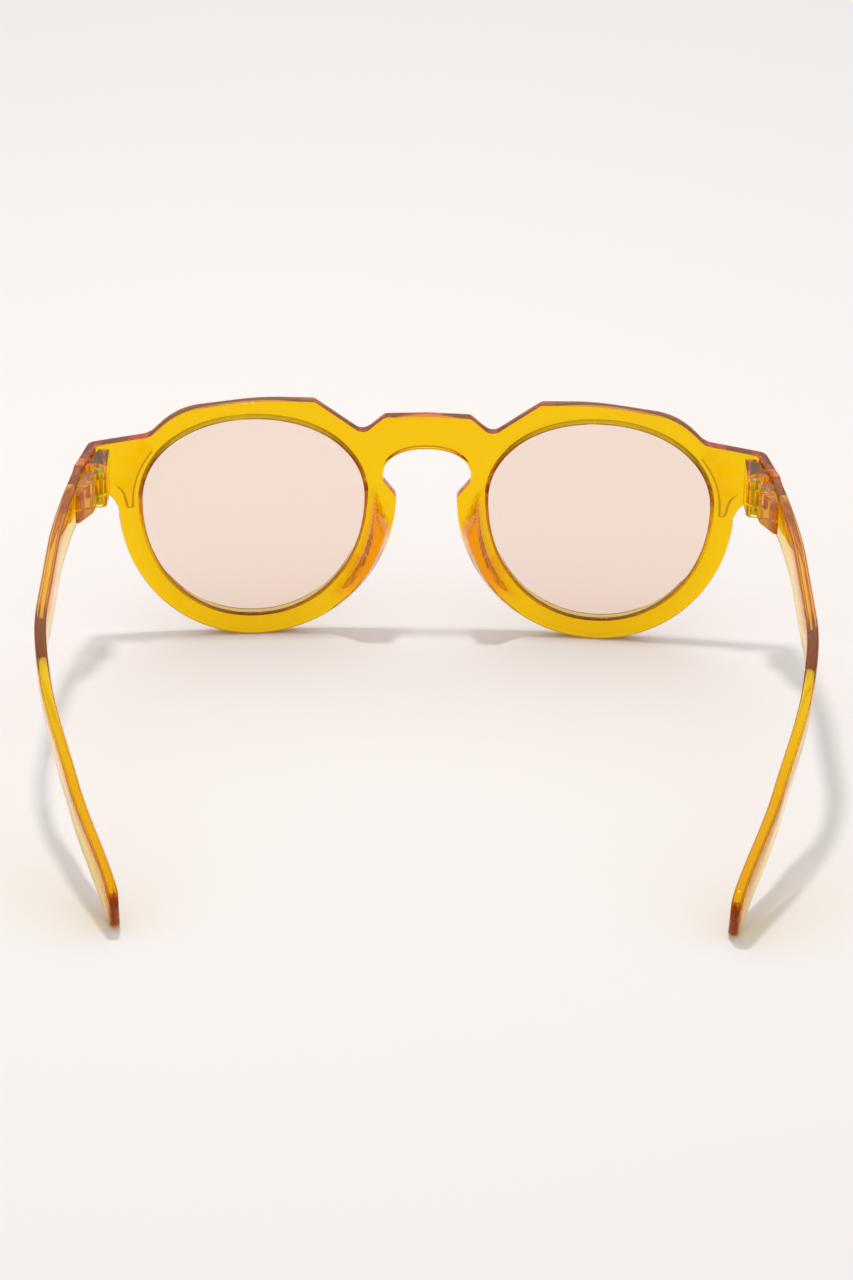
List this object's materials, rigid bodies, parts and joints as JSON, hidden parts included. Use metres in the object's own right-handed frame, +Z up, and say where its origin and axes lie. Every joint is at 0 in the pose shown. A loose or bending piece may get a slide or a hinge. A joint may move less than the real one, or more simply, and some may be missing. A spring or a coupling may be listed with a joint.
{
  "type": "sunglasses",
  "caption": "Full-frame sunglasses with a clear amber keyhole front, pale peach lenses and folding temples on plastic hinges.",
  "frame": {"origin": "middle of the footprint, on the surface that the rim bottoms and temple tips rest on", "axes": "+X towards the wearer's left, across the two temples; -Y out through the lenses, with the temples running back along +Y; +Z up"},
  "size_m": [0.1512, 0.1466, 0.0525],
  "materials": {
    "amber_plastic": "polished clear amber",
    "hinge_plastic": "moulded clear amber",
    "lens": "polished pale peach tint",
    "steel": "turned steel"
  },
  "bodies": {
    "front": {"front_frame": "amber_plastic", "lens_left": "lens", "lens_right": "lens", "front_hinge_left": "hinge_plastic", "front_hinge_right": "hinge_plastic", "hinge_screw_left": "steel", "hinge_screw_right": "steel"},
    "temple_left": {"temple_left": "amber_plastic", "temple_hinge_left": "hinge_plastic"},
    "temple_right": {"temple_right": "amber_plastic", "temple_hinge_right": "hinge_plastic"}
  },
  "joints": [
    {"name": "temple_left_fold", "type": "hinge", "parent": "front", "child": "temple_left", "pos_m": [0.068, -0.05578, 0.0378], "axis": [0, 0, 1], "range_deg": [0, 88]},
    {"name": "temple_right_fold", "type": "hinge", "parent": "front", "child": "temple_right", "pos_m": [-0.068, -0.05578, 0.0378], "axis": [0, 0, -1], "range_deg": [0, 84]}
  ]
}
